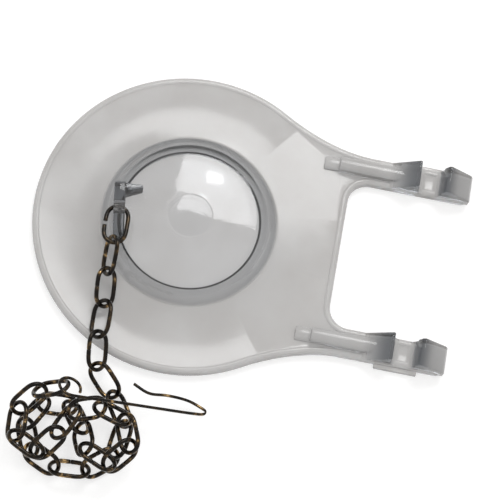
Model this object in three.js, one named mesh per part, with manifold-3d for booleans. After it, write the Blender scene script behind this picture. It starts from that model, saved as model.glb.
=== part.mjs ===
// Toilet flapper: a clear vinyl moulding with a chain of bent wire links and a wire clip.
// Millimetres, +Z up. The origin is the centre of the sealing disc on its underside,
// +X points along the two arms and the underside lies on Z = 0.

import * as THREE from "three";
import { mergeVertices } from "three/addons/utils/BufferGeometryUtils.js";
import Module from "manifold-3d";

// Sealing disc
const discRadius = 41.5;
const rimThickness = 3.2;
const rimRound = 1.1;
const rimBeadWidth = 1.7;
const pocketDepth = 0.45;
const discRise = 0.9;

// Air dome: a cup that stands on the disc and is open underneath
const domeBaseRadius = 23.2;
const domeTopRadius = 21.2;
const domeRimHeight = 6.6;
const domeRimRound = 1.2;
const crownRise = 2.2;
const domeWall = 2.4;
const crownThickness = 2.1;
const domeFootRound = 1;
const gateRadius = 6;
const gateHeight = 0.3;
const gateEdge = 0.3;
const cupMouthRadius = 23.2;
const cupRound = 0.8;
const roundSteps = 60;

// Saddle in each ear, where the overflow tube's peg lies
const saddleX = 62;
const saddleRadius = 3.2;
const saddleFloor = 2.6;

// Forked web and arms
const webInset = 0.5;
const armInner = 20.4;
const armOuter = 28.2;
const forkCornerRadius = 5.5;
const tipCornerRadius = 2.4;
const blendAngle = 60;
const blendPull = 8.6;
const blendLength = 5;

// Ear: a ramp up to the saddle, a peak behind it and a slope down to the tip
const rampLength = 7.8;
const earPeakGap = 1.6;
const tipLength = 6.8;
const tipRise = 1.2;
const earEdge = 0.5;
const earInset = 0.2;
const ledgeWidth = 1;
const ledgeThickness = 1.6;
const ledgeBefore = 7;
const ledgeBehind = 4.5;

// Rib along each arm, stepped down at its start
const ribWidth = 3.8;
const ribLead = 8.5;
const ribStep = 4;
const ribLowRise = 0.9;
const ribRise = 2.5;

// How far the foot of a rib, ear or lug goes into what carries it
const footDepth = 2;

// Lug for the chain, on the dome's shoulder
const lugBearing = 189;
const lugInset = 2.5;
const lugThickness = 3;
const lugHeadReach = 7.4;
const lugTailReach = 7.2;
const lugRise = 6.8;
const lugTailRise = 3.6;
const lugEdge = 0.8;
const lugEyeOffset = 0.7;
const lugEyeRise = 4.4;
const lugEyeRadius = 1.75;
const gussetReach = 4.6;
const gussetWidth = 3;
const gussetTip = 0.7;
const gussetSink = 0.7;

// Chain link: an oval ring of bent wire
const wire = 1.2;
const linkLength = 11.5;
const linkWidth = 7;
const linkGap = 0.3;
const linkSeam = 0.2;
const openSeam = 1.3;
const linkRoll = 42;
const secondRoll = 60;
const wireSides = 6;
const linkSteps = 18;

// Chain's run over the disc: how far along from the lug's middle, and how far out of its line, each
// place lies
const runStart = [8.8, 1.25];
const runLanding = [16.4, 2.4];
const runMiddle = [24, 2.9];
const runEdge = [32.5, 3.9];

// Chain heap: its place beside the disc, the slack in its links and how steeply they climb
const heapX = -18.5;
const heapReach = 19;
const tautLinks = 10;
const tautPlay = 0.4;
const heapPlay = 1.7;
const climb = 0.5;
const routeSpacing = 0.4;

// Clip of bent wire
const clipWire = 0.9;
const clipEyeRadius = 2.9;
const clipLength = 38;
const clipHeading = 7;
const clipRoll = 30;
const clipSpread = 2.4;
const clipSteps = 64;

const radians = THREE.MathUtils.degToRad;
const discFloor = rimThickness - pocketDepth;
const discTop = discFloor + discRise;
const webEdge = discRadius - webInset;
const armStart = webEdge + blendLength;
const saddleZ = saddleFloor + saddleRadius;
const earHeight = saddleZ + saddleRadius;
const earStart = saddleX - saddleRadius - rampLength;
const armReach = saddleX + saddleRadius + earPeakGap + tipLength;
const tipHeight = rimThickness + tipRise;
const ribStart = discRadius - ribLead;
const lugCentreRadius = domeTopRadius - lugInset;
const lugTop = domeRimHeight + lugRise;
const lugTailTop = domeRimHeight + lugTailRise;
const lugEyeHeight = domeRimHeight + lugEyeRise;
const heapY = -discRadius - heapReach;
const linkReach = (linkLength - wire) / 2;
const bendRadius = (linkWidth - wire) / 2;
const pitch = 2 * linkReach - wire - linkGap;
const lowLink = bendRadius * Math.sin(radians(linkRoll)) + wire / 2 + linkGap;
const passHeight = 2 * bendRadius * Math.sin(radians(linkRoll)) + wire + linkGap;
const passWidth = 2 * bendRadius * Math.cos(radians(linkRoll)) + wire + 3 * linkGap;

const wasm = await Module();
wasm.setup();

const vinyl = { color: 0xe9ebe9, roughness: 0.25, metalness: 0 };
const bronze = { color: 0x2c231a, roughness: 0.3, metalness: 1 };

// Solids

function solidFrom(geometry) {
  const bare = geometry.clone();
  for (const name of Object.keys(bare.attributes)) if (name !== "position") bare.deleteAttribute(name);
  const merged = mergeVertices(bare, 1e-4);
  const vertProperties = Float32Array.from(merged.attributes.position.array);
  const triVerts = Uint32Array.from(merged.index.array);
  return new wasm.Manifold(new wasm.Mesh({ numProp: 3, vertProperties, triVerts }));
}

function geometryFrom(solid) {
  const mesh = solid.getMesh();
  const geometry = new THREE.BufferGeometry();
  geometry.setAttribute("position", new THREE.BufferAttribute(mesh.vertProperties, 3));
  geometry.setIndex(new THREE.BufferAttribute(mesh.triVerts, 1));
  geometry.computeVertexNormals();
  return geometry;
}

function lathe(profile, segments) {
  const points = profile.map(([r, z]) => new THREE.Vector2(r, z));
  return new THREE.LatheGeometry(points, segments).rotateX(Math.PI / 2);
}

// An outline in the XZ plane, given width along Y from low to high
function sideExtrude(shape, low, high) {
  const options = { depth: high - low, bevelEnabled: false, curveSegments: 10 };
  const geometry = new THREE.ExtrudeGeometry(shape, options);
  return geometry.rotateX(Math.PI / 2).translate(0, high, 0);
}

// A section in the YZ plane, given length along X
function lengthExtrude(shape, from, to) {
  const options = { depth: to - from, bevelEnabled: false, curveSegments: 6 };
  const geometry = new THREE.ExtrudeGeometry(shape, options);
  return geometry.rotateX(Math.PI / 2).rotateZ(Math.PI / 2).translate(from, 0, 0);
}

function arcPoints(cx, cz, radius, from, to, steps) {
  return Array.from({ length: steps + 1 }, (_, i) => {
    const angle = radians(from + ((to - from) * i) / steps);
    return [cx + radius * Math.cos(angle), cz + radius * Math.sin(angle)];
  });
}

// Body: web outline, plate, dome, ribs, ears and lug

// One half of the outline, from the blend on the disc round the arm to the middle of the fork
function halfOutline() {
  const blend = radians(blendAngle);
  const start = new THREE.Vector2(discRadius * Math.cos(blend), discRadius * Math.sin(blend));
  const pull = new THREE.Vector2(Math.sin(blend), -Math.cos(blend)).multiplyScalar(blendPull).add(start);
  const level = new THREE.Vector2(armStart - blendPull, armOuter);
  const sweep = new THREE.CubicBezierCurve(start, pull, level, new THREE.Vector2(armStart, armOuter));
  const tipX = armReach - tipCornerRadius;
  const corner = webEdge + forkCornerRadius;
  return [
    ...sweep.getPoints(9).map((point) => [point.x, point.y]),
    ...arcPoints(tipX, armOuter - tipCornerRadius, tipCornerRadius, 90, 0, 4),
    ...arcPoints(tipX, armInner + tipCornerRadius, tipCornerRadius, 0, -90, 4),
    ...arcPoints(corner, armInner - forkCornerRadius, forkCornerRadius, 90, 180, 6),
  ];
}

function outlinePoints() {
  const half = halfOutline();
  const disc = arcPoints(0, 0, discRadius, blendAngle, 360 - blendAngle, 48).slice(1, -1);
  const mirrored = half.map(([x, y]) => [x, -y]);
  return [...disc, ...mirrored, ...half.reverse()].map(([x, y]) => new THREE.Vector2(x, y));
}

// The same outline drawn in by a distance, each corner moved along the mean of its two edges' normals
function drawnIn(points, distance) {
  const count = points.length;
  return points.map((point, i) => {
    const before = points[(i + count - 1) % count];
    const after = points[(i + 1) % count];
    const a = new THREE.Vector2().subVectors(point, before).normalize();
    const b = new THREE.Vector2().subVectors(after, point).normalize();
    const along = a.add(b).normalize();
    return new THREE.Vector2(point.x - along.y * distance, point.y + along.x * distance);
  });
}

function plate() {
  const points = outlinePoints();
  const edge = new THREE.ExtrudeGeometry(new THREE.Shape(points), {
    depth: rimThickness - 2 * rimRound,
    bevelThickness: rimRound,
    bevelSize: rimRound,
    bevelOffset: -rimRound,
    bevelSegments: 2,
  }).translate(0, 0, rimRound);
  const pocket = new THREE.ExtrudeGeometry(new THREE.Shape(drawnIn(points, rimBeadWidth)), {
    depth: pocketDepth + 1,
    bevelEnabled: false,
  }).translate(0, 0, rimThickness - pocketDepth);
  return solidFrom(edge).subtract(solidFrom(pocket));
}

// The disc's top climbs from the rim's bead to the dome's foot, then the dome stands on it
function domeAndCone() {
  const edge = discRadius - rimBeadWidth / 2;
  const slope = discRadius - rimBeadWidth - domeBaseRadius - domeFootRound;
  const wallLean = Math.atan2(domeBaseRadius - domeTopRadius, domeRimHeight - discTop);
  const profile = [
    [0, rimThickness - footDepth],
    [edge, rimThickness - footDepth],
    [edge, discFloor - (discRise * rimBeadWidth) / 2 / slope],
    [domeBaseRadius + domeFootRound, discTop],
    [domeBaseRadius + 0.25 * domeFootRound, discTop + 0.3 * domeFootRound],
    [domeBaseRadius - domeFootRound * Math.tan(wallLean), discTop + domeFootRound],
    ...arcPoints(domeTopRadius - domeRimRound, domeRimHeight - domeRimRound, domeRimRound, 15, 80, 3),
    ...[0.8, 0.52].map((share) => [domeTopRadius * share, crownHeight(domeTopRadius * share)]),
    [gateRadius, crownHeight(gateRadius)],
    [gateRadius - gateEdge, crownHeight(gateRadius) + gateHeight],
    [gateRadius / 2, crownHeight(gateRadius / 2) + gateHeight],
    [0, crownHeight(0) + gateHeight],
  ];
  return solidFrom(lathe(profile, roundSteps));
}

function crownHeight(radius) {
  const share = radius / domeTopRadius;
  return domeRimHeight + crownRise * (1 - share * share);
}

function airCup() {
  const inner = domeTopRadius - domeWall;
  const waist = domeBaseRadius - domeWall;
  const lean = (cupMouthRadius - waist) / discFloor;
  const under = (radius) => crownHeight(radius) - crownThickness;
  const profile = [
    [0, -1],
    [cupMouthRadius + lean, -1],
    [waist, discFloor],
    [inner, under(inner) - cupRound],
    [inner - cupRound, under(inner - cupRound)],
    [inner / 2, under(inner / 2)],
    [0, under(0)],
  ];
  return solidFrom(lathe(profile, roundSteps));
}

// A rib with a rounded top, lower at its first step
function rib(side) {
  const middle = (side * (armInner + armOuter)) / 2;
  const half = ribWidth / 2;
  const foot = rimThickness - footDepth;
  const bar = (from, to, height) => {
    const section = new THREE.Shape();
    section.moveTo(middle - half, foot);
    section.lineTo(middle + half, foot);
    section.lineTo(middle + half, height - 0.6 * half);
    section.quadraticCurveTo(middle + 0.9 * half, height, middle, height);
    section.quadraticCurveTo(middle - 0.9 * half, height, middle - half, height - 0.6 * half);
    return solidFrom(lengthExtrude(section, from, to));
  };
  const low = bar(ribStart, ribStart + ribStep + half, rimThickness + ribLowRise);
  return low.add(bar(ribStart + ribStep, earStart + rampLength / 2, rimThickness + ribRise));
}

// The ear's side outline: a ramp, the half-round saddle, a peak and the slope down to the tip
function ear(side) {
  const first = saddleX - saddleRadius;
  const second = saddleX + saddleRadius;
  const foot = rimThickness - footDepth;
  const tip = armReach - earInset;
  const shape = new THREE.Shape();
  shape.moveTo(earStart, foot);
  shape.lineTo(tip, foot);
  shape.lineTo(tip, tipHeight - earEdge);
  shape.lineTo(tip - earEdge, tipHeight + earEdge);
  shape.lineTo(second + earPeakGap, earHeight);
  shape.lineTo(second + earPeakGap / 2, earHeight - earEdge);
  shape.lineTo(second, saddleZ + earPeakGap / 2);
  shape.lineTo(second, saddleZ);
  shape.absarc(saddleX, saddleZ, saddleRadius, 0, -Math.PI, true);
  shape.lineTo(first, earHeight - earEdge);
  shape.lineTo(first - earEdge, earHeight);
  shape.lineTo(earStart, discFloor);
  const sides = [side * (armInner + earInset), side * (armOuter - earInset)];
  const block = solidFrom(sideExtrude(shape, Math.min(...sides), Math.max(...sides)));
  const shelf = new THREE.BoxGeometry(ledgeBefore + ledgeBehind, ledgeWidth + footDepth, ledgeThickness);
  const shelfX = saddleX + (ledgeBehind - ledgeBefore) / 2;
  shelf.translate(shelfX, side * (armOuter + (ledgeWidth - footDepth) / 2), ledgeThickness / 2);
  return block.add(solidFrom(shelf));
}

// The lug stands along the dome's shoulder. It is drawn at bearing 0, its tail towards +Y, then turned.
function lug() {
  const shoulder = crownHeight(lugCentreRadius);
  const foot = shoulder - crownThickness / 2;
  const inner = lugCentreRadius - lugThickness / 2;
  const shape = new THREE.Shape();
  shape.moveTo(2 * lugEdge - lugHeadReach, shoulder - footDepth - lugEdge);
  shape.lineTo(lugTailReach, shoulder - footDepth - lugEdge);
  shape.lineTo(lugTailReach, lugTailTop - lugEdge);
  shape.lineTo(lugTailReach - lugEdge, lugTailTop);
  shape.lineTo(0, lugTop);
  shape.lineTo(lugEdge - lugHeadReach, lugTop);
  shape.lineTo(-lugHeadReach, lugTop - lugEdge);
  shape.lineTo(-lugHeadReach, foot + lugEdge);
  const eye = new THREE.Path();
  eye.absarc(-lugEyeOffset, lugEyeHeight, lugEyeRadius, 0, 2 * Math.PI, true);
  shape.holes.push(eye);
  const strap = lengthExtrude(shape, inner, inner + lugThickness);
  const far = inner - gussetReach;
  const wedge = new THREE.Shape();
  wedge.moveTo(inner + gussetSink, lugEdge / 2 - lugHeadReach);
  wedge.lineTo(inner + gussetSink, gussetWidth - lugHeadReach);
  wedge.lineTo(far, lugEdge + gussetTip - lugHeadReach);
  wedge.lineTo(far, lugEdge - lugHeadReach);
  const options = { depth: lugTop - lugEdge - foot, bevelEnabled: false };
  const gusset = new THREE.ExtrudeGeometry(wedge, options).translate(0, 0, foot);
  const turned = (geometry) => solidFrom(geometry.rotateZ(radians(lugBearing)));
  return turned(strap).add(turned(gusset));
}

function body() {
  let solid = plate().add(domeAndCone()).add(lug());
  for (const side of [1, -1]) solid = solid.add(rib(side)).add(ear(side));
  return geometryFrom(solid.subtract(airCup()));
}

// Wire

function wireAlong(curve, diameter, steps) {
  const corners = Array.from({ length: wireSides }, (_, i) => {
    const angle = (2 * Math.PI * i) / wireSides;
    return new THREE.Vector2((diameter / 2) * Math.cos(angle), (diameter / 2) * Math.sin(angle));
  });
  const options = { steps, extrudePath: curve, bevelEnabled: false };
  return new THREE.ExtrudeGeometry(new THREE.Shape(corners), options);
}

// The centreline of a link: an oval in the XY plane that starts and ends at the seam in its -Y side
class LinkPath extends THREE.Curve {
  constructor(seam) {
    super();
    this.seam = seam;
  }

  getPoint(t) {
    const straight = linkReach - bendRadius;
    const bend = Math.PI * bendRadius;
    const loop = 4 * straight + 2 * bend;
    const along = this.seam / 2 + t * (loop - this.seam);
    const onBend = (centre, distance) => {
      const angle = distance / bendRadius - (centre > 0 ? Math.PI / 2 : -Math.PI / 2);
      return [centre + bendRadius * Math.cos(angle), bendRadius * Math.sin(angle)];
    };
    let place;
    if (along < straight) place = [along, -bendRadius];
    else if (along < straight + bend) place = onBend(straight, along - straight);
    else if (along < 3 * straight + bend) place = [2 * straight + bend - along, bendRadius];
    else if (along < 3 * straight + 2 * bend) place = onBend(-straight, along - 3 * straight - bend);
    else place = [along - loop, -bendRadius];
    return new THREE.Vector3(place[0], place[1], 0);
  }
}

// A straight frame for a piece whose length runs along a direction, rolled about it from level
function frameAlong(direction, roll) {
  const level = new THREE.Vector3(0, 0, 1).cross(direction).normalize();
  const up = new THREE.Vector3().crossVectors(direction, level);
  const width = level.multiplyScalar(Math.cos(roll)).addScaledVector(up, Math.sin(roll));
  const normal = new THREE.Vector3().crossVectors(direction, width);
  const basis = new THREE.Matrix4().makeBasis(direction, width, normal);
  return new THREE.Quaternion().setFromRotationMatrix(basis);
}

// Chain: the points where links meet, marched at equal pitch along a smooth route

function turnedFromLug(radial, tail, z) {
  const bearing = radians(lugBearing);
  const x = radial * Math.cos(bearing) - tail * Math.sin(bearing);
  const y = radial * Math.sin(bearing) + tail * Math.cos(bearing);
  return new THREE.Vector3(x, y, z);
}

// Plan offsets from the heap's centre, chosen by hand: where the chain was let down, turn upon turn.
// The last two have a height too, because the clip holds the chain's end up, and so have two at a crossing.
const heapRoute = [
  [5, 14.5],
  [9.5, 8.5],
  [13, 1.5],
  [10.7, -5.8],
  [4.5, -10.3],
  [-2.5, -10.8],
  [-9, -8.5],
  [-12.5, -2.5],
  [-10, 4.5],
  [-3.5, 6.5],
  [1, 1.5],
  [3.7, -5.2, 8.3],
  [10, -8.5, 8.6],
  [15, -3.5],
  [13, 3],
  [6.5, 5.7],
  [0, 4],
  [-3, -2],
  [-6, -8],
  [-11.5, -8.5],
  [-15, -3],
  [-14, 3],
  [-9, 7, 11],
  [-2, 7.4, 16.5],
];

function chainRoute() {
  const eye = turnedFromLug(lugCentreRadius, -lugEyeOffset, lugEyeHeight);
  const overDisc = discTop + lowLink;
  const places = [
    [runStart, lugEyeHeight + 0.3],
    [runLanding, overDisc + discRise + 1.2],
    [runMiddle, overDisc],
    [runEdge, overDisc],
  ];
  const points = [
    eye.clone().add(new THREE.Vector3(0, -(wire + linkGap) / 2, -0.05)),
    ...places.map(([[along, out], z]) => turnedFromLug(lugCentreRadius + out, along, z)),
    new THREE.Vector3(heapX + 1.8, -discRadius - 1.8, overDisc - discRise),
  ];
  for (const [x, y, z = lowLink] of heapRoute) points.push(new THREE.Vector3(heapX + x, heapY + y, z));
  return new THREE.CatmullRomCurve3(points, false, "centripetal");
}

// Each place on the route is lifted until it clears every earlier stretch below it, with a gentle climb
function piled(places) {
  const skip = Math.ceil((2.5 * pitch) / routeSpacing);
  for (let pass = 0; pass < 4; pass++) {
    places.forEach((place, i) => {
      for (const under of places.slice(0, Math.max(0, i - skip))) {
        const flat = Math.hypot(place.x - under.x, place.y - under.y);
        if (flat > passWidth) continue;
        place.z = Math.max(place.z, under.z + passHeight * (1 - (flat / passWidth) ** 4) ** 0.25);
      }
    });
    for (let i = places.length - 2; i > 0; i--) {
      places[i].z = Math.max(places[i].z, places[i + 1].z - climb * routeSpacing);
    }
  }
  return places;
}

function chainJoints() {
  const route = chainRoute();
  const fine = piled(route.getSpacedPoints(Math.round(route.getLength() / routeSpacing)));
  const joints = [fine[0]];
  for (let i = 1; i < fine.length; i++) {
    const play = joints.length > tautLinks ? heapPlay : tautPlay;
    const reach = pitch - play;
    const last = joints.at(-1);
    if (fine[i].distanceTo(last) < reach) continue;
    const before = fine[i - 1].distanceTo(last);
    const after = fine[i].distanceTo(last);
    joints.push(new THREE.Vector3().lerpVectors(fine[i - 1], fine[i], (reach - before) / (after - before)));
  }
  return joints;
}

function rollOf(index) {
  if (index === 0) return 0;
  if (index === 1) return radians(secondRoll);
  return radians(index % 2 ? linkRoll : -linkRoll);
}

function chainLink(index, from, to) {
  const seam = index === 0 ? openSeam : linkSeam;
  const ring = wireAlong(new LinkPath(seam), wire, linkSteps);
  const link = new THREE.Mesh(ring, new THREE.MeshStandardMaterial(bronze));
  link.name = `chain_link_${String(index + 1).padStart(2, "0")}`;
  link.position.lerpVectors(from, to, 0.5);
  link.quaternion.copy(frameAlong(to.clone().sub(from).normalize(), rollOf(index)));
  return link;
}

// Clip: its eye turns round the last link's end, its leg runs down to the floor and doubles back

function clipPath() {
  const eye = arcPoints(0, 0, clipEyeRadius, -30, 262, 14);
  const legSide = -clipEyeRadius;
  const bendX = clipLength - 1;
  const places = [
    ...eye,
    [2, legSide - 0.05],
    [clipLength * 0.3, legSide + 0.1],
    [clipLength * 0.6, legSide + 0.2],
    [bendX - 2.5, legSide + 0.4],
    [bendX, legSide + 0.7],
    [clipLength, legSide + 1.7],
    [bendX - 0.6, legSide + 2.9],
    [bendX - 3.6, clipSpread - 0.8],
    [clipLength * 0.72, clipSpread - 0.1],
    [clipLength * 0.6, clipSpread - 0.5],
    [clipLength * 0.56, clipSpread - 0.1],
    [clipLength * 0.48, clipSpread + 2.1],
  ];
  return new THREE.CatmullRomCurve3(places.map(([x, y]) => new THREE.Vector3(x, y, 0)), false, "centripetal");
}

function clip(from, to) {
  const bent = wireAlong(clipPath(), clipWire, clipSteps);
  const mesh = new THREE.Mesh(bent, new THREE.MeshStandardMaterial(bronze));
  mesh.name = "chain_clip";
  const direction = to.clone().sub(from).normalize();
  mesh.position.copy(to).addScaledVector(direction, clipEyeRadius - (clipWire + linkGap) / 2);
  const endHeight = clipWire / 2 + clipSpread * Math.sin(radians(clipRoll));
  const drop = Math.asin((mesh.position.z - endHeight) / clipLength);
  const heading = radians(clipHeading);
  const level = Math.cos(drop);
  const run = new THREE.Vector3(level * Math.cos(heading), level * Math.sin(heading), -Math.sin(drop));
  mesh.quaternion.copy(frameAlong(run, -radians(clipRoll)));
  return mesh;
}

// Assembly

const flapper = new THREE.Group();
const moulding = new THREE.Mesh(body(), new THREE.MeshStandardMaterial(vinyl));
moulding.name = "flapper_body";
flapper.add(moulding);

const joints = chainJoints();
for (let i = 0; i + 1 < joints.length; i++) flapper.add(chainLink(i, joints[i], joints[i + 1]));
flapper.add(clip(joints.at(-2), joints.at(-1)));

export default flapper;
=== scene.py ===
# %% [markdown]
# # Toilet flapper in clear vinyl
#
# The object is a flapper for a flush valve: one soft, clear moulding with a hollow dome and two arms, and a
# chain of bent wire with a spring clip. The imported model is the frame. It gives every piece its place, and this
# lesson gives every piece its finish. All lengths in Blender are metres, so sizes from the drawing, which are in
# millimetres, are multiplied by `MM`.

# %% Load the frame
import math

import bmesh
import bpy
import numpy as np
from mathutils import Matrix, Vector


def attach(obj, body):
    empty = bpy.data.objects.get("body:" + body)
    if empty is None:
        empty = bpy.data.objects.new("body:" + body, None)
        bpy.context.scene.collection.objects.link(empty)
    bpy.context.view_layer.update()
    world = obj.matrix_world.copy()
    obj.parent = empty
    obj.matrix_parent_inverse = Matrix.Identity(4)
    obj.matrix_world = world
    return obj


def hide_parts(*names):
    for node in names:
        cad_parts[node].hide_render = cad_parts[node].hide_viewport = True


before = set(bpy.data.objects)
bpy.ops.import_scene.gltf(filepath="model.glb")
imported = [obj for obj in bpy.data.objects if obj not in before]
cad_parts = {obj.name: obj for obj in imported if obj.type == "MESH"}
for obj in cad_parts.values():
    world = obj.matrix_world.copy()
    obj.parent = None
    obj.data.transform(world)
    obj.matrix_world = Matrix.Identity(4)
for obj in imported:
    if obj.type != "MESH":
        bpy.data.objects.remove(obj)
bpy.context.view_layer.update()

MM = 0.001

# %% [markdown]
# ## Camera
#
# The photo looks down on the flapper from the side where the chain lies, tilted about 18 degrees from straight
# down, and from far enough away that the two arms look nearly parallel. A camera can be aimed with a Track To
# constraint, but then its roll is hard to set. Here its axes are built as a matrix from the point that it looks at
# and four plain numbers: distance, tilt, heading and roll.

# %% Camera
AIM = Vector((17.5, -3.4, 0)) * MM
CAMERA_DISTANCE = 482 * MM
CAMERA_TILT = math.radians(17.8)
CAMERA_HEADING = math.radians(-96.4)
CAMERA_ROLL = math.radians(10.5)
FOCAL_LENGTH = 129.6
SENSOR_WIDTH = 36


def camera_matrix():
    back = Vector((math.sin(CAMERA_TILT) * math.cos(CAMERA_HEADING),
                   math.sin(CAMERA_TILT) * math.sin(CAMERA_HEADING),
                   math.cos(CAMERA_TILT)))
    right = Vector((0, 1, 0)).cross(back).normalized()
    up = back.cross(right)
    turned_right = right * math.cos(CAMERA_ROLL) + up * math.sin(CAMERA_ROLL)
    turned_up = up * math.cos(CAMERA_ROLL) - right * math.sin(CAMERA_ROLL)
    axes = Matrix((turned_right, turned_up, back)).transposed().to_4x4()
    axes.translation = AIM + back * CAMERA_DISTANCE
    return axes


camera_data = bpy.data.cameras.new("camera")
camera_data.lens = FOCAL_LENGTH
camera_data.sensor_width = SENSOR_WIDTH
camera_data.clip_start = 0.01
camera = bpy.data.objects.new("camera", camera_data)
camera.matrix_world = camera_matrix()
bpy.context.scene.collection.objects.link(camera)
bpy.context.scene.camera = camera
print("camera at", [round(v, 3) for v in camera.location])

# %% [markdown]
# ## Outline of the moulding
#
# The sheet of the flapper is a disc that runs out into a fork. Its outline could be traced by eye, but the
# drawing gives it with few numbers: one big arc, a smooth blend into each arm, and small arcs at the tips and in
# the fork. Only the half with positive Y is worked out, and the other half is its mirror image.

# %% Outline of the moulding
DISC_RADIUS = 41.5
WEB_EDGE = 41.0
ARM_INNER = 20.4
ARM_OUTER = 28.2
ARM_START = 46.0
ARM_REACH = 73.6
BLEND_ANGLE = 60
BLEND_PULL = 8.6
TIP_ROUND = 2.4
FORK_ROUND = 5.5


def arc(x, y, radius, start, end, steps):
    angles = [math.radians(start + (end - start) * i / steps) for i in range(steps + 1)]
    return [(x + radius * math.cos(a), y + radius * math.sin(a)) for a in angles]


def bezier(a, b, c, d, steps):
    points = []
    for i in range(steps + 1):
        t = i / steps
        weights = ((1 - t) ** 3, 3 * t * (1 - t) ** 2, 3 * t * t * (1 - t), t ** 3)
        points.append(tuple(sum(w * p[k] for w, p in zip(weights, (a, b, c, d))) for k in (0, 1)))
    return points


def straight(a, b, steps):
    return [(a[0] + (b[0] - a[0]) * i / steps, a[1] + (b[1] - a[1]) * i / steps) for i in range(1, steps)]


def outline():
    blend = math.radians(BLEND_ANGLE)
    start = (DISC_RADIUS * math.cos(blend), DISC_RADIUS * math.sin(blend))
    pull = (start[0] + BLEND_PULL * math.sin(blend), start[1] - BLEND_PULL * math.cos(blend))
    level = (ARM_START - BLEND_PULL, ARM_OUTER)
    tip_x = ARM_REACH - TIP_ROUND
    corner = WEB_EDGE + FORK_ROUND
    sweep = bezier(start, pull, level, (ARM_START, ARM_OUTER), 18)
    outer_tip = arc(tip_x, ARM_OUTER - TIP_ROUND, TIP_ROUND, 90, 0, 8)
    inner_tip = arc(tip_x, ARM_INNER + TIP_ROUND, TIP_ROUND, 0, -90, 8)
    fork = arc(corner, ARM_INNER - FORK_ROUND, FORK_ROUND, 90, 180, 12)
    half = (sweep + straight(sweep[-1], outer_tip[0], 10) + outer_tip + straight(outer_tip[-1], inner_tip[0], 2)
            + inner_tip + straight(inner_tip[-1], fork[0], 10) + fork + straight(fork[-1], (WEB_EDGE, 0), 8))
    disc = arc(0, 0, DISC_RADIUS, BLEND_ANGLE, 360 - BLEND_ANGLE, 110)[1:-1]
    mirrored = [(x, -y) for x, y in half]
    return disc + mirrored + [(WEB_EDGE, 0)] + half[::-1]


OUTLINE = outline()
print("outline points:", len(OUTLINE))

# %% [markdown]
# ## Plate with its rolled rim
#
# A soft moulding has a thick rolled bead all round its edge. In the photo it shows as two fine lines that follow
# the outline. A Bevel modifier would round the edge too, but it can't make the shallow step inside the bead, so
# the outline is drawn in by small steps, each at its own height, and the rings are joined into a skin.

# %% Plate with its rolled rim
RIM_THICKNESS = 3.2
RIM_ROUND = 1.1
BEAD_WIDTH = 1.7
POCKET_DEPTH = 0.45
DISC_RISE = 0.9
PLATE_TOP = RIM_THICKNESS - POCKET_DEPTH
DISC_TOP = PLATE_TOP + DISC_RISE
STEP_ROUND = 0.12
JOIN_HEIGHT = 1.2  # inside the plate, where joined pieces start


def drawn_in(points, distance):
    moved = []
    for i, point in enumerate(points):
        before = Vector(points[i - 1])
        after = Vector(points[(i + 1) % len(points)])
        along = ((Vector(point) - before).normalized() + (after - Vector(point)).normalized()).normalized()
        moved.append((point[0] - along.y * distance, point[1] + along.x * distance))
    return moved


def mesh_object(name, verts, faces):
    mesh = bpy.data.meshes.new(name)
    mesh.from_pydata([Vector(v) * MM for v in verts], [], faces)
    mesh.update()
    piece = bpy.data.objects.new(name, mesh)
    bpy.context.scene.collection.objects.link(piece)
    return piece


def facing_out(piece):
    work = bmesh.new()
    work.from_mesh(piece.data)
    bmesh.ops.recalc_face_normals(work, faces=work.faces)
    if work.calc_volume(signed=True) < 0:
        bmesh.ops.reverse_faces(work, faces=work.faces)
    work.to_mesh(piece.data)
    work.free()
    return piece


def rim_profile():
    """(how far in, how high) from the underside, round the bead and down to the shallow pocket."""
    low = arc(RIM_ROUND, RIM_ROUND, RIM_ROUND, 270, 180, 6)
    high = arc(RIM_ROUND, RIM_THICKNESS - RIM_ROUND, RIM_ROUND, 180, 90, 6)
    step = [(BEAD_WIDTH - 0.3, RIM_THICKNESS), (BEAD_WIDTH - 0.05, RIM_THICKNESS - STEP_ROUND),
            (BEAD_WIDTH + 0.1, PLATE_TOP + STEP_ROUND), (BEAD_WIDTH + 0.4, PLATE_TOP)]
    return low + high + step


def plate():
    verts, faces = [], []
    count = len(OUTLINE)
    for inset, height in rim_profile():
        verts += [(x, y, height) for x, y in drawn_in(OUTLINE, inset)]
    rings = len(verts) // count
    for r in range(rings - 1):
        for i in range(count):
            j = (i + 1) % count
            faces.append((r * count + i, r * count + j, (r + 1) * count + j, (r + 1) * count + i))
    faces.append(tuple(range(count))[::-1])
    faces.append(tuple(range((rings - 1) * count, rings * count)))
    return facing_out(mesh_object("plate", verts, faces))


PLATE = plate()
print("plate faces:", len(PLATE.data.polygons))

# %% [markdown]
# ## Dome and air cup
#
# The dome is a shape of revolution: a slightly coned disc top, a leaning wall, a rounded rim and a shallow crown
# with the round mark of the moulding gate. Blender's Screw modifier can spin a profile. Writing the rings
# ourselves keeps the seam closed, and the same helper also makes the hollow that is cut out from below.

# %% Dome and air cup
DOME_BASE_RADIUS = 23.2
DOME_TOP_RADIUS = 21.2
DOME_RIM_HEIGHT = 6.6
DOME_RIM_ROUND = 1.2
CROWN_RISE = 2.2
DOME_WALL = 2.4
CROWN_THICKNESS = 2.1
FOOT_ROUND = 1.0
CUP_MOUTH_RADIUS = 23.2
GATE_RADIUS = 6.0
GATE_HEIGHT = 0.3
CROWN_EDGE = 2.4
SPIN_STEPS = 180


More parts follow.
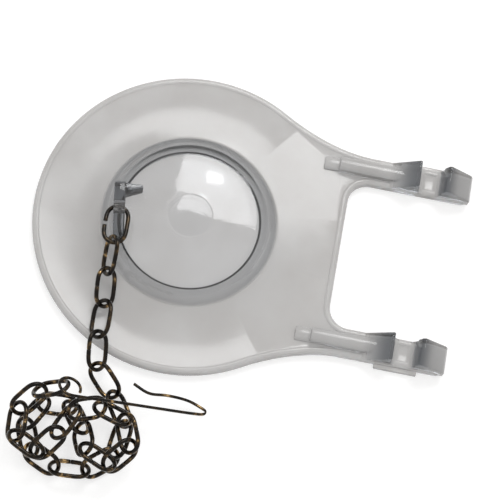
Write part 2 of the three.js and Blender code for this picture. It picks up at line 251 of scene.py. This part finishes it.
def spun(name, profile):
    """A closed solid from (radius, height) points that start and end on the axis."""
    steps = SPIN_STEPS
    turns = [2 * math.pi * i / steps for i in range(steps)]
    verts, faces = [(0, 0, profile[0][1])], []
    for radius, height in profile[1:-1]:
        verts += [(radius * math.cos(a), radius * math.sin(a), height) for a in turns]
    verts.append((0, 0, profile[-1][1]))
    rings = len(profile) - 2
    for i in range(steps):
        j = (i + 1) % steps
        faces.append((0, 1 + j, 1 + i))
        for r in range(rings - 1):
            a, b = 1 + r * steps, 1 + (r + 1) * steps
            faces.append((a + i, a + j, b + j, b + i))
        last = 1 + (rings - 1) * steps
        faces.append((last + i, last + j, len(verts) - 1))
    return facing_out(mesh_object(name, verts, faces))


def crown_height(radius):
    return DOME_RIM_HEIGHT + CROWN_RISE * (1 - (radius / DOME_TOP_RADIUS) ** 2)


def dome():
    edge = DISC_RADIUS - BEAD_WIDTH / 2
    slope = DISC_RADIUS - BEAD_WIDTH - DOME_BASE_RADIUS - FOOT_ROUND
    lean = math.atan2(DOME_BASE_RADIUS - DOME_TOP_RADIUS, DOME_RIM_HEIGHT - DISC_TOP)
    foot = [(DOME_BASE_RADIUS + FOOT_ROUND * (1 - math.sin(a)), DISC_TOP + FOOT_ROUND * (1 - math.cos(a)))
            for a in (math.radians(s) for s in (0, 15, 30, 45, 60))]
    wall_foot = (DOME_BASE_RADIUS - FOOT_ROUND * math.tan(lean), DISC_TOP + FOOT_ROUND)
    rim = arc(DOME_TOP_RADIUS - DOME_RIM_ROUND, DOME_RIM_HEIGHT - DOME_RIM_ROUND, DOME_RIM_ROUND, 20, 84, 7)
    crown = [(r, crown_height(r)) for r in np.linspace(DOME_TOP_RADIUS - CROWN_EDGE, GATE_RADIUS + 0.2, 10)]
    gate_foot = crown_height(GATE_RADIUS)
    gate = [(GATE_RADIUS, gate_foot + 0.04), (GATE_RADIUS - 0.25, gate_foot + 0.26),
            (GATE_RADIUS - 0.6, gate_foot + GATE_HEIGHT)]
    inner = [(r, crown_height(r) + GATE_HEIGHT) for r in (4, 2.5, 1.2)]
    base = [(0, JOIN_HEIGHT), (edge, JOIN_HEIGHT), (edge, PLATE_TOP - DISC_RISE * BEAD_WIDTH / 2 / slope)]
    profile = (base + foot + [wall_foot] + rim + crown + gate + inner
               + [(0, crown_height(0) + GATE_HEIGHT)])
    return spun("dome", profile)


def air_cup():
    inner = DOME_TOP_RADIUS - DOME_WALL
    waist = DOME_BASE_RADIUS - DOME_WALL
    lean = (CUP_MOUTH_RADIUS - waist) / PLATE_TOP
    roof = [(r, crown_height(r) - CROWN_THICKNESS) for r in (inner - 1.6, inner - 3, 12, 9, 6, 3)]
    top = crown_height(inner) - CROWN_THICKNESS
    corner = [(inner + 0.12, top - 1.2), (inner - 0.12, top - 0.6), (inner - 0.6, top - 0.1)]
    lip = [(CUP_MOUTH_RADIUS + 0.35, -0.05), (CUP_MOUTH_RADIUS, 0.12), (CUP_MOUTH_RADIUS - 0.4 * lean, 0.4)]
    profile = ([(0, -1), (CUP_MOUTH_RADIUS + 0.35, -1)] + lip + [(waist, PLATE_TOP)] + corner + roof
               + [(0, crown_height(0) - CROWN_THICKNESS)])
    return spun("air_cup", profile)


DOME = dome()
AIR_CUP = air_cup()
print("dome faces:", len(DOME.data.polygons))

# %% [markdown]
# ## Ribs, ears and the lug for the chain
#
# Each arm carries a round-backed rib that runs into an ear, and each ear has a half-round saddle that slips over
# a peg of the overflow tube. The chain hangs on a lug on the dome's shoulder. All of these are straight pieces
# with one outline, so one helper gives an outline its width, and a Bevel modifier softens the edges, because
# soft vinyl has no sharp corner.

# %% Extruded pieces
SADDLE_X = 62.0
SADDLE_RADIUS = 3.2
SADDLE_FLOOR = 2.6
EAR_START = 51.0
EAR_PEAK_GAP = 1.6
EAR_INSET = 0.2
TIP_HEIGHT = 4.4
RIB_WIDTH = 3.8
RIB_START = 33.0
RIB_STEP = 4.0
RIB_LOW = 4.1
RIB_HIGH = 5.7
RIB_CREST = 0.55
EAR_EDGE = 0.5
SHARP_ANGLE = 28


def prism(name, points, low, high, place):
    """A solid with one flat outline, from low to high across it; place turns (a, b, across) into x, y, z."""
    count = len(points)
    verts = [place(a, b, low) for a, b in points] + [place(a, b, high) for a, b in points]
    faces = [tuple(range(count)), tuple(range(2 * count - 1, count - 1, -1))]
    faces += [(i, i + count, (i + 1) % count + count, (i + 1) % count) for i in range(count)]
    return facing_out(mesh_object(name, verts, faces))


def soften(piece, width, segments):
    bevel = piece.modifiers.new("soft edges", "BEVEL")
    bevel.width = width * MM
    bevel.segments = segments
    bevel.limit_method = "ANGLE"
    bevel.angle_limit = math.radians(SHARP_ANGLE)
    bevel.use_clamp_overlap = True
    return apply_modifiers(piece)


def apply_modifiers(piece):
    bpy.context.view_layer.update()
    graph = bpy.context.evaluated_depsgraph_get()
    mesh = bpy.data.meshes.new_from_object(piece.evaluated_get(graph))
    piece.modifiers.clear()
    piece.data = mesh
    return piece


def along_x(a, b, across):
    return (across, a, b)


def side_view(a, b, across):
    return (a, across, b)


def rib(side):
    middle = side * (ARM_INNER + ARM_OUTER) / 2
    half = RIB_WIDTH / 2

    def section(height):
        crest = [(middle + half * math.cos(a), height - RIB_CREST * half + RIB_CREST * half * math.sin(a))
                 for a in np.linspace(0, math.pi, 13)]
        return [(middle - half, JOIN_HEIGHT), (middle + half, JOIN_HEIGHT)] + crest

    low = prism("rib_low", section(RIB_LOW), RIB_START, RIB_START + RIB_STEP + 1, along_x)
    high = prism("rib_high", section(RIB_HIGH), RIB_START + RIB_STEP, EAR_START + 4, along_x)
    return [soften(low, 0.3, 2), soften(high, 0.45, 3)]


def ear_outline():
    first = SADDLE_X - SADDLE_RADIUS
    second = SADDLE_X + SADDLE_RADIUS
    centre = SADDLE_FLOOR + SADDLE_RADIUS
    peak = centre + SADDLE_RADIUS
    tip = ARM_REACH - EAR_INSET
    saddle = arc(SADDLE_X, centre, SADDLE_RADIUS, 0, -180, 20)
    return ([(EAR_START, JOIN_HEIGHT), (tip, JOIN_HEIGHT), (tip, TIP_HEIGHT - EAR_EDGE),
             (tip - EAR_EDGE, TIP_HEIGHT + EAR_EDGE), (second + EAR_PEAK_GAP, peak),
             (second + EAR_PEAK_GAP / 2, peak - EAR_EDGE), (second, centre + EAR_PEAK_GAP / 2)] + saddle
            + [(first, peak - EAR_EDGE), (first - EAR_EDGE, peak), (EAR_START, PLATE_TOP)])


def ear(side):
    faces_at = sorted((side * (ARM_INNER + EAR_INSET), side * (ARM_OUTER - EAR_INSET)))
    return soften(prism("ear", ear_outline(), faces_at[0], faces_at[1], side_view), 0.3, 3)


LEDGE_WIDTH = 1.0
LEDGE_THICKNESS = 1.6
LEDGE_START = 55.0
LEDGE_END = 66.5


def ledge(side):
    corners = [(LEDGE_START, 0), (LEDGE_END, 0), (LEDGE_END, LEDGE_THICKNESS), (LEDGE_START, LEDGE_THICKNESS)]
    reach = sorted((side * (ARM_OUTER - 2), side * (ARM_OUTER + LEDGE_WIDTH)))
    return soften(prism("ledge", corners, reach[0], reach[1], side_view), 0.25, 2)


LUG_BEARING = math.radians(189)
LUG_RADIUS = 18.7
LUG_THICKNESS = 3.0
LUG_HEAD = 7.4
LUG_TAIL = 7.2
LUG_TOP = 13.4
LUG_TAIL_TOP = 10.2
LUG_EYE_HEIGHT = 11.0
LUG_EYE_OFFSET = 0.7
LUG_EYE_RADIUS = 1.75
GUSSET_REACH = 4.6
GUSSET_WIDTH = 3.0
GUSSET_TIP = 0.7
GUSSET_TAPER = 0.8
LUG_ROOT = 1.9
LUG_CORNER = 0.8
EYE_CUT_REACH = 4


def turned(x, y, z):
    """From the lug drawn on the +X side, its tail towards +Y, to its place on the dome."""
    c, s = math.cos(LUG_BEARING), math.sin(LUG_BEARING)
    return (x * c - y * s, x * s + y * c, z)


def lug():
    shoulder = crown_height(LUG_RADIUS)
    inner = LUG_RADIUS - LUG_THICKNESS / 2
    root = shoulder - LUG_ROOT
    profile = [(1.6 - LUG_HEAD, root), (LUG_TAIL, root), (LUG_TAIL, LUG_TAIL_TOP - LUG_CORNER),
               (LUG_TAIL - LUG_CORNER, LUG_TAIL_TOP), (0, LUG_TOP), (LUG_CORNER - LUG_HEAD, LUG_TOP),
               (-LUG_HEAD, LUG_TOP - LUG_CORNER), (-LUG_HEAD, shoulder)]
    strap = prism("lug_strap", profile, inner, inner + LUG_THICKNESS, lambda a, b, across: turned(across, a, b))
    soften(strap, 0.4, 3)
    far = inner - GUSSET_REACH
    wedge = [(inner + 0.7, 0.4 - LUG_HEAD), (inner + 0.7, GUSSET_WIDTH - LUG_HEAD),
             (far, GUSSET_TAPER + GUSSET_TIP - LUG_HEAD), (far, GUSSET_TAPER - LUG_HEAD)]
    gusset = prism("lug_gusset", wedge, shoulder - CROWN_THICKNESS / 2, LUG_TOP - LUG_CORNER, turned)
    return [strap, soften(gusset, 0.3, 2)]


def lug_eye():
    circle = arc(-LUG_EYE_OFFSET, LUG_EYE_HEIGHT, LUG_EYE_RADIUS, 0, 360, 28)[:-1]
    return prism("lug_eye", circle, LUG_RADIUS - EYE_CUT_REACH, LUG_RADIUS + EYE_CUT_REACH,
                 lambda a, b, across: turned(across, a, b))


ADDED = lug()
for arm_side in (1, -1):
    ADDED += rib(arm_side) + [ear(arm_side), ledge(arm_side)]
print("pieces to join to the plate:", len(ADDED))

# %% [markdown]
# ## One moulding
#
# On the real flapper all of this is one shot of vinyl, and light passes through it, so inner walls left between
# the pieces would show as dark lines. The pieces are therefore joined with Boolean modifiers into one closed
# skin. The exact solver is slower than the fast one and keeps the skin watertight.

# %% One moulding
MERGE = 0.01
SMOOTH_BELOW = 32


def boolean(piece, other, operation):
    cut = piece.modifiers.new(operation.lower(), "BOOLEAN")
    cut.operation = operation
    cut.solver = "EXACT"
    cut.object = other
    apply_modifiers(piece)
    bpy.data.objects.remove(other)


MOULDING = PLATE
MOULDING.name = "moulding"
boolean(MOULDING, DOME, "UNION")
for extra in ADDED:
    boolean(MOULDING, extra, "UNION")
boolean(MOULDING, lug_eye(), "DIFFERENCE")
boolean(MOULDING, AIR_CUP, "DIFFERENCE")


def smooth_below(piece, degrees):
    for polygon in piece.data.polygons:
        polygon.use_smooth = True
    piece.data.set_sharp_from_angle(angle=math.radians(degrees))


def tidy_mesh(piece):
    work = bmesh.new()
    work.from_mesh(piece.data)
    bmesh.ops.remove_doubles(work, verts=work.verts, dist=MERGE * MM)
    bmesh.ops.dissolve_degenerate(work, edges=work.edges, dist=MERGE * MM)
    open_edges = sum(1 for e in work.edges if len(e.link_faces) != 2)
    volume = work.calc_volume()
    work.to_mesh(piece.data)
    work.free()
    return open_edges, volume


OPEN_EDGES, VOLUME = tidy_mesh(MOULDING)
smooth_below(MOULDING, SMOOTH_BELOW)
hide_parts("flapper_body")
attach(MOULDING, "flapper")
print("moulding: faces", len(MOULDING.data.polygons), "open edges", OPEN_EDGES, "cm3", round(VOLUME * 1e6, 2))

# %% [markdown]
# ## Chain and clip
#
# The links are bent from round wire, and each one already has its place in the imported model, but there its wire
# has only six sides. Each link is copied, its triangles are joined into quads, and a Subdivision Surface modifier
# rounds the wire. It would round the wire's cut ends as well, and every seam would gape, so the edges there get a
# full crease, which the modifier leaves sharp. It also pulls the skin in a little, so the points are pushed out
# again along their normals until the wire is nearly as thick as drawn. The clip's wire is pushed out less and comes
# out 0.78 mm thick where 0.9 mm is drawn, because at 0.88 mm it touched the last link with the clip lifted fully.

# %% Chain and clip
CHAIN_BODY = {f"chain_link_{i:02d}": f"link_{i:02d}" for i in range(1, 7)}
LINK_SWELL = 0.09
CLIP_SWELL = 0.02
CUT_END_ANGLE = math.radians(75)
WELD = 0.002
QUAD_BEND = math.radians(40)
QUAD_SHAPE = math.radians(60)
ROUND_LEVELS = 2
ALL_SMOOTH = 180


def rounded_wire(node, name, swell):
    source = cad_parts[node]
    piece = bpy.data.objects.new(name, source.data.copy())
    bpy.context.scene.collection.objects.link(piece)
    piece.data.materials.clear()
    work = bmesh.new()
    work.from_mesh(piece.data)
    bmesh.ops.remove_doubles(work, verts=work.verts, dist=WELD * MM)
    bmesh.ops.join_triangles(work, faces=work.faces, angle_face_threshold=QUAD_BEND,
                             angle_shape_threshold=QUAD_SHAPE)
    crease = work.edges.layers.float.new("crease_edge")
    for edge in work.edges:
        if edge.calc_face_angle(0) > CUT_END_ANGLE:
            edge[crease] = 1.0
    work.to_mesh(piece.data)
    work.free()
    rounding = piece.modifiers.new("round wire", "SUBSURF")
    rounding.levels = rounding.render_levels = ROUND_LEVELS
    apply_modifiers(piece)
    for vertex, normal in zip(piece.data.vertices, [v.normal.copy() for v in piece.data.vertices]):
        vertex.co += normal * swell * MM
    smooth_below(piece, ALL_SMOOTH)
    return piece


LINKS = []
for node in sorted(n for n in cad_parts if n.startswith("chain_link")):
    link = rounded_wire(node, node.replace("chain_link", "wire_link"), LINK_SWELL)
    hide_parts(node)
    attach(link, CHAIN_BODY.get(node, "chain_rest"))
    LINKS.append(link)
CLIP = rounded_wire("chain_clip", "spring_clip", CLIP_SWELL)
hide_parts("chain_clip")
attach(CLIP, "clip")
print("links:", len(LINKS), "faces in one:", len(LINKS[0].data.polygons))

# %% [markdown]
# ## Clear vinyl
#
# Soft clear vinyl is not glass. It darkens to a blue-grey where it is seen edge on, because light has a longer
# way through it, it is a trace milky, and its skin is never quite flat, since it shrinks as it cools in the mould.
# A glass shader with a tint would be just as dark in a thin web as in a thick ear. Here an absorbing volume
# inside the closed skin makes thick places dark, a small share without transmission gives the milkiness, and
# noise patterns give the slow waves, the dull patches and the fine grain of the skin. The sheet and the ribs are
# satin and the dome, the lug and the ears are polished, so a mask made from the height and the length of the
# object chooses between a duller, milkier skin and a clear one.

# %% Clear vinyl
VINYL_DEPTH_COLOUR = (0.66, 0.68, 0.705, 1)
VINYL_DENSITY = 520.0
CLEAR_SHARE = 0.96
SATIN_CLEAR_SHARE = 0.64
VINYL_IOR = 1.5
MILK = [(0.35, (0.90, 0.87, 0.84, 1)), (0.65, (0.98, 0.955, 0.93, 1))]
PATCH_SIZE = 16.0
PATCH_DULLNESS = (0.07, 0.15)
POLISHED_ROUGHNESS = 0.03
WAVE_SIZE = 9.0
WAVE_HEIGHT = 0.25
WAVE_STRENGTH = 0.3
GRAIN_SIZE = 0.8
GRAIN_HEIGHT = 0.02
GRAIN_STRENGTH = 0.35
SHEET_ENDS = (3.7, 4.5)
RIBS_START = (29, 33)
RIBS_END = (50, 57)
TIPS_START = (66, 70)
TIPS_SATIN = 0.7


def new_material(name):
    material = bpy.data.materials.new(name)
    material.use_nodes = True
    nodes = material.node_tree.nodes
    return material, nodes, material.node_tree.links, nodes["Principled BSDF"], nodes["Material Output"]


def noise(nodes, links, size, detail, rough=0.5):
    """A noise pattern whose blotches are about size millimetres across."""
    place = nodes.new("ShaderNodeTexCoord")
    pattern = nodes.new("ShaderNodeTexNoise")
    pattern.inputs["Scale"].default_value = 1 / (size * MM)
    pattern.inputs["Detail"].default_value = detail
    pattern.inputs["Roughness"].default_value = rough
    links.new(place.outputs["Object"], pattern.inputs["Vector"])
    return pattern.outputs["Fac"]


def ramp(nodes, links, source, stops):
    """Colours between stops of (place from 0 to 1, colour)."""
    colours = nodes.new("ShaderNodeValToRGB")
    row = colours.color_ramp.elements
    while len(row) < len(stops):
        row.new(0.5)
    for element, (place, colour) in zip(row, stops):
        element.position = place
        element.color = colour
    links.new(source, colours.inputs["Fac"])
    return colours.outputs["Color"]


def remap(nodes, links, source, before, after, shape="LINEAR"):
    """Turns the range before into the range after."""
    scale = nodes.new("ShaderNodeMapRange")
    scale.interpolation_type = shape
    for name, value in zip(("From Min", "From Max", "To Min", "To Max"), (*before, *after)):
        scale.inputs[name].default_value = value
    links.new(source, scale.inputs["Value"])
    return scale.outputs["Result"]


def spread(nodes, links, source, values):
    """The noise, which stays near 0.5, spread out between two values."""
    return remap(nodes, links, source, (0.3, 0.7), values)


def bump(nodes, links, source, distance, strength, under=None):
    relief = nodes.new("ShaderNodeBump")
    relief.inputs["Distance"].default_value = distance * MM
    relief.inputs["Strength"].default_value = strength
    links.new(source, relief.inputs["Height"])
    if under:
        links.new(under, relief.inputs["Normal"])
    return relief.outputs["Normal"]


def between(nodes, links, source, lengths, values):
    """Goes from one value to the other over a stretch of the drawing, given in millimetres."""
    return remap(nodes, links, source, [length * MM for length in lengths], values, "SMOOTHSTEP")


def combined(nodes, links, operation, first, second):
    sums = nodes.new("ShaderNodeMath")
    sums.operation = operation
    links.new(first, sums.inputs[0])
    if isinstance(second, float):
        sums.inputs[1].default_value = second
    else:
        links.new(second, sums.inputs[1])
    return sums.outputs[0]


def satin_share(nodes, links):
    """1 on the sheet and the ribs, which the mould leaves satin, and 0 on the polished dome, lug and ears.
    The tips of the arms lie between."""
    place = nodes.new("ShaderNodeTexCoord")
    axes = nodes.new("ShaderNodeSeparateXYZ")
    links.new(place.outputs["Object"], axes.inputs[0])
    sheet = between(nodes, links, axes.outputs["Z"], SHEET_ENDS, (1, 0))
    rib_start = between(nodes, links, axes.outputs["X"], RIBS_START, (0, 1))
    rib_end = between(nodes, links, axes.outputs["X"], RIBS_END, (1, 0))
    tips = between(nodes, links, axes.outputs["X"], TIPS_START, (0, TIPS_SATIN))
    ribs = combined(nodes, links, "MULTIPLY", rib_start, rib_end)
    return combined(nodes, links, "MAXIMUM", sheet, combined(nodes, links, "MAXIMUM", ribs, tips))


def vinyl():
    material, nodes, links, shader, output = new_material("clear_vinyl")
    shader.inputs["IOR"].default_value = VINYL_IOR
    patches = noise(nodes, links, PATCH_SIZE, 4)
    satin = satin_share(nodes, links)
    patchy = combined(nodes, links, "MULTIPLY", satin, spread(nodes, links, patches, PATCH_DULLNESS))
    dull = combined(nodes, links, "ADD", patchy, POLISHED_ROUGHNESS)
    clear = remap(nodes, links, satin, (0, 1), (CLEAR_SHARE, SATIN_CLEAR_SHARE))
    waves = bump(nodes, links, noise(nodes, links, WAVE_SIZE, 2), WAVE_HEIGHT, WAVE_STRENGTH)
    grain = bump(nodes, links, noise(nodes, links, GRAIN_SIZE, 2), GRAIN_HEIGHT, GRAIN_STRENGTH, waves)
    links.new(clear, shader.inputs["Transmission Weight"])
    links.new(ramp(nodes, links, patches, MILK), shader.inputs["Base Color"])
    links.new(dull, shader.inputs["Roughness"])
    links.new(grain, shader.inputs["Normal"])
    depth = nodes.new("ShaderNodeVolumeAbsorption")
    depth.inputs["Color"].default_value = VINYL_DEPTH_COLOUR
    depth.inputs["Density"].default_value = VINYL_DENSITY
    links.new(depth.outputs["Volume"], output.inputs["Volume"])
    return material


MOULDING.data.materials.clear()
MOULDING.data.materials.append(vinyl())
loss = [round(VINYL_DENSITY * (1 - c) * 10 * MM, 2) for c in VINYL_DEPTH_COLOUR[:3]]
print("vinyl: 10 mm of it swallow", [round(1 - math.exp(-v), 2) for v in loss], "of red, green and blue")

# %% [markdown]
# ## Dark bronzed wire
#
# The chain is brass-plated wire that has gone nearly black, and golden brown shows through where links rub. One
# metal colour would look like new brass or like black plastic. Two noise patterns do it here: a slow one chooses
# between the black skin and the bare gold, and a fine one pits the skin. Black oxide is duller than bare metal, so
# the slow pattern also drives the roughness. The thin lacquer on the wire is the shader's coat, and it gives the
# sharp white glints that so dark a metal could not.

# %% Dark bronzed wire
TARNISH = [(0.46, (0.010, 0.008, 0.006, 1)), (0.58, (0.055, 0.036, 0.017, 1)), (0.74, (0.70, 0.46, 0.20, 1))]
TARNISH_SIZE = 2.2
WIRE_ROUGHNESS = (0.26, 0.12)
LACQUER = 0.35
LACQUER_ROUGHNESS = 0.06
PIT_SIZE = 0.35
PIT_DEPTH = 0.02
PIT_STRENGTH = 0.3


def bronzed_wire():
    material, nodes, links, shader, _ = new_material("dark_bronzed_wire")
    shader.inputs["Metallic"].default_value = 1.0
    shader.inputs["Coat Weight"].default_value = LACQUER
    shader.inputs["Coat Roughness"].default_value = LACQUER_ROUGHNESS
    tarnish = noise(nodes, links, TARNISH_SIZE, 6, 0.6)
    pits = bump(nodes, links, noise(nodes, links, PIT_SIZE, 3), PIT_DEPTH, PIT_STRENGTH)
    links.new(ramp(nodes, links, tarnish, TARNISH), shader.inputs["Base Color"])
    links.new(spread(nodes, links, tarnish, WIRE_ROUGHNESS), shader.inputs["Roughness"])
    links.new(pits, shader.inputs["Normal"])
    return material


BRONZE = bronzed_wire()
for piece in LINKS + [CLIP]:
    piece.data.materials.append(BRONZE)
print("pieces of bronzed wire:", len(LINKS) + 1)

# %% [markdown]
# ## Floor and light
#
# The photo shows the flapper on plain white. The floor is a pale sheet. Where the camera sees it, straight, in a
# reflection or through the vinyl, a little light of its own lifts it to white, and the object's shadow still
# darkens it. A large square lamp stands for the studio's softbox, and a small weak one beside it adds a sharper
# glint. Both face straight down, so they need no aiming.

# %% Floor and light
FLOOR_HALF = 1500
FLOOR_LEVEL = -0.02
PAPER_COLOUR = (0.55, 0.55, 0.55, 1)
PAPER_LIFT = 0.6
WORLD_COLOUR = (1, 0.99, 0.98, 1)
WORLD_STRENGTH = 0.72


def floor_material():
    material, nodes, links, shader, output = new_material("white_floor")
    nodes.remove(shader)
    paper = nodes.new("ShaderNodeBsdfDiffuse")
    paper.inputs["Color"].default_value = PAPER_COLOUR
    path = nodes.new("ShaderNodeLightPath")
    seen = combined(nodes, links, "MAXIMUM", path.outputs["Is Camera Ray"], path.outputs["Is Glossy Ray"])
    seen = combined(nodes, links, "MAXIMUM", seen, path.outputs["Is Transmission Ray"])
    glow = nodes.new("ShaderNodeEmission")
    links.new(combined(nodes, links, "MULTIPLY", seen, PAPER_LIFT), glow.inputs["Strength"])
    both = nodes.new("ShaderNodeAddShader")
    links.new(paper.outputs[0], both.inputs[0])
    links.new(glow.outputs[0], both.inputs[1])
    links.new(both.outputs[0], output.inputs["Surface"])
    return material


CORNERS = [(x * FLOOR_HALF, y * FLOOR_HALF, FLOOR_LEVEL) for x, y in ((-1, -1), (1, -1), (1, 1), (-1, 1))]
FLOOR = mesh_object("floor", CORNERS, [(0, 1, 2, 3)])
FLOOR.data.materials.append(floor_material())

world = bpy.data.worlds.new("studio")
bpy.context.scene.world = world
world.use_nodes = True
background = world.node_tree.nodes["Background"]
background.inputs["Color"].default_value = WORLD_COLOUR
background.inputs["Strength"].default_value = WORLD_STRENGTH


def lamp(name, place, size, power):
    """A square lamp that faces straight down."""
    data = bpy.data.lights.new(name, "AREA")
    data.shape = "SQUARE"
    data.size = size
    data.energy = power
    light = bpy.data.objects.new(name, data)
    light.location = place
    bpy.context.scene.collection.objects.link(light)


lamp("softbox", place=(0.105, 0.395, 0.6), size=0.36, power=2.0)
lamp("glint_lamp", place=(0.061, 0.366, 0.55), size=0.06, power=0.06)
bpy.context.scene.view_settings.view_transform = "Standard"
print("floor level mm:", FLOOR_LEVEL, "paper:", PAPER_COLOUR[0], "world strength:", WORLD_STRENGTH)
